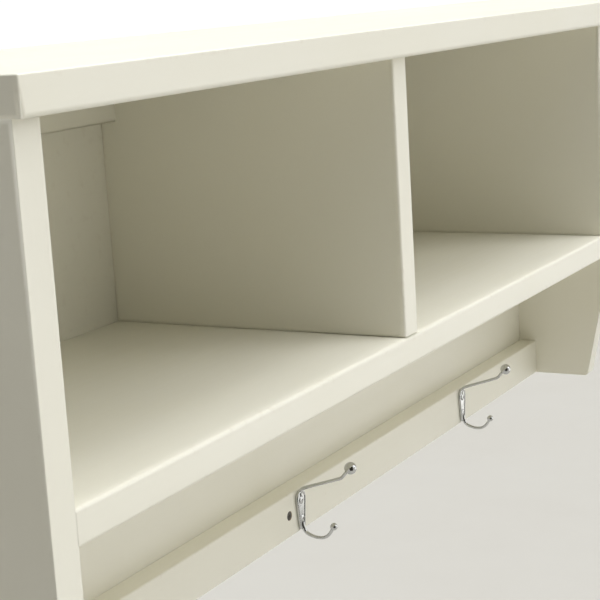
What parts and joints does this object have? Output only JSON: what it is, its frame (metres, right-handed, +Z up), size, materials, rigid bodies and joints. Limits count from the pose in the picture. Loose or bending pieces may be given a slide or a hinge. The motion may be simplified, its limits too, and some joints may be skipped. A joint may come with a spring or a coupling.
{
  "type": "wall-hung coat shelf",
  "caption": "Wall-hung coat shelf: open cubbies under a top board, shaped side brackets, and a rail with double hooks below.",
  "frame": {"origin": "on the wall plane, at the middle of the back panel's rear face", "axes": "+X to the right along the shelf, +Y into the wall, +Z up; the cubbies open towards -Y"},
  "size_m": [1.1, 0.225, 0.4057],
  "materials": {
    "paint": "cream satin paint on board",
    "raw_board": "thin fibreboard, painted cream in front and bare behind",
    "chrome": "polished",
    "zinc": "bright zinc plate",
    "black_steel": "black phosphate",
    "beech": "bare beech"
  },
  "bodies": {
    "root": {"top_board": "paint", "left_side_panel": "paint", "right_side_panel": "paint", "left_divider": "paint", "right_divider": "paint", "cubby_shelf": "paint", "back_panel": "raw_board", "hook_rail": "paint", "left_hanging_cleat": "paint", "centre_hanging_cleat": "paint", "right_hanging_cleat": "paint", "left_double_hook": "chrome", "left_hook_upper_screw": "zinc", "left_hook_lower_screw": "zinc", "centre_double_hook": "chrome", "centre_hook_upper_screw": "zinc", "centre_hook_lower_screw": "zinc", "right_double_hook": "chrome", "right_hook_upper_screw": "zinc", "right_hook_lower_screw": "zinc", "rail_wall_screw": "black_steel", "left_cleat_wall_screw": "black_steel", "right_cleat_wall_screw": "black_steel", "left_shelf_dowel_rear": "beech", "left_top_dowel_rear": "beech", "left_divider_upper_dowel_rear": "beech", "left_divider_lower_dowel_rear": "beech", "left_shelf_dowel_front": "beech", "left_top_dowel_front": "beech", "left_divider_upper_dowel_front": "beech", "left_divider_lower_dowel_front": "beech", "left_rail_dowel": "beech", "right_shelf_dowel_rear": "beech", "right_top_dowel_rear": "beech", "right_divider_upper_dowel_rear": "beech", "right_divider_lower_dowel_rear": "beech", "right_shelf_dowel_front": "beech", "right_top_dowel_front": "beech", "right_divider_upper_dowel_front": "beech", "right_divider_lower_dowel_front": "beech", "right_rail_dowel": "beech", "left_shelf_rear_cam_lock": "zinc", "left_shelf_rear_cam_bolt": "zinc", "left_shelf_front_cam_lock": "zinc", "left_shelf_front_cam_bolt": "zinc", "left_top_cam_lock": "zinc", "left_top_cam_bolt": "zinc", "right_shelf_rear_cam_lock": "zinc", "right_shelf_rear_cam_bolt": "zinc", "right_shelf_front_cam_lock": "zinc", "right_shelf_front_cam_bolt": "zinc", "right_top_cam_lock": "zinc", "right_top_cam_bolt": "zinc"}
  },
  "joints": []
}
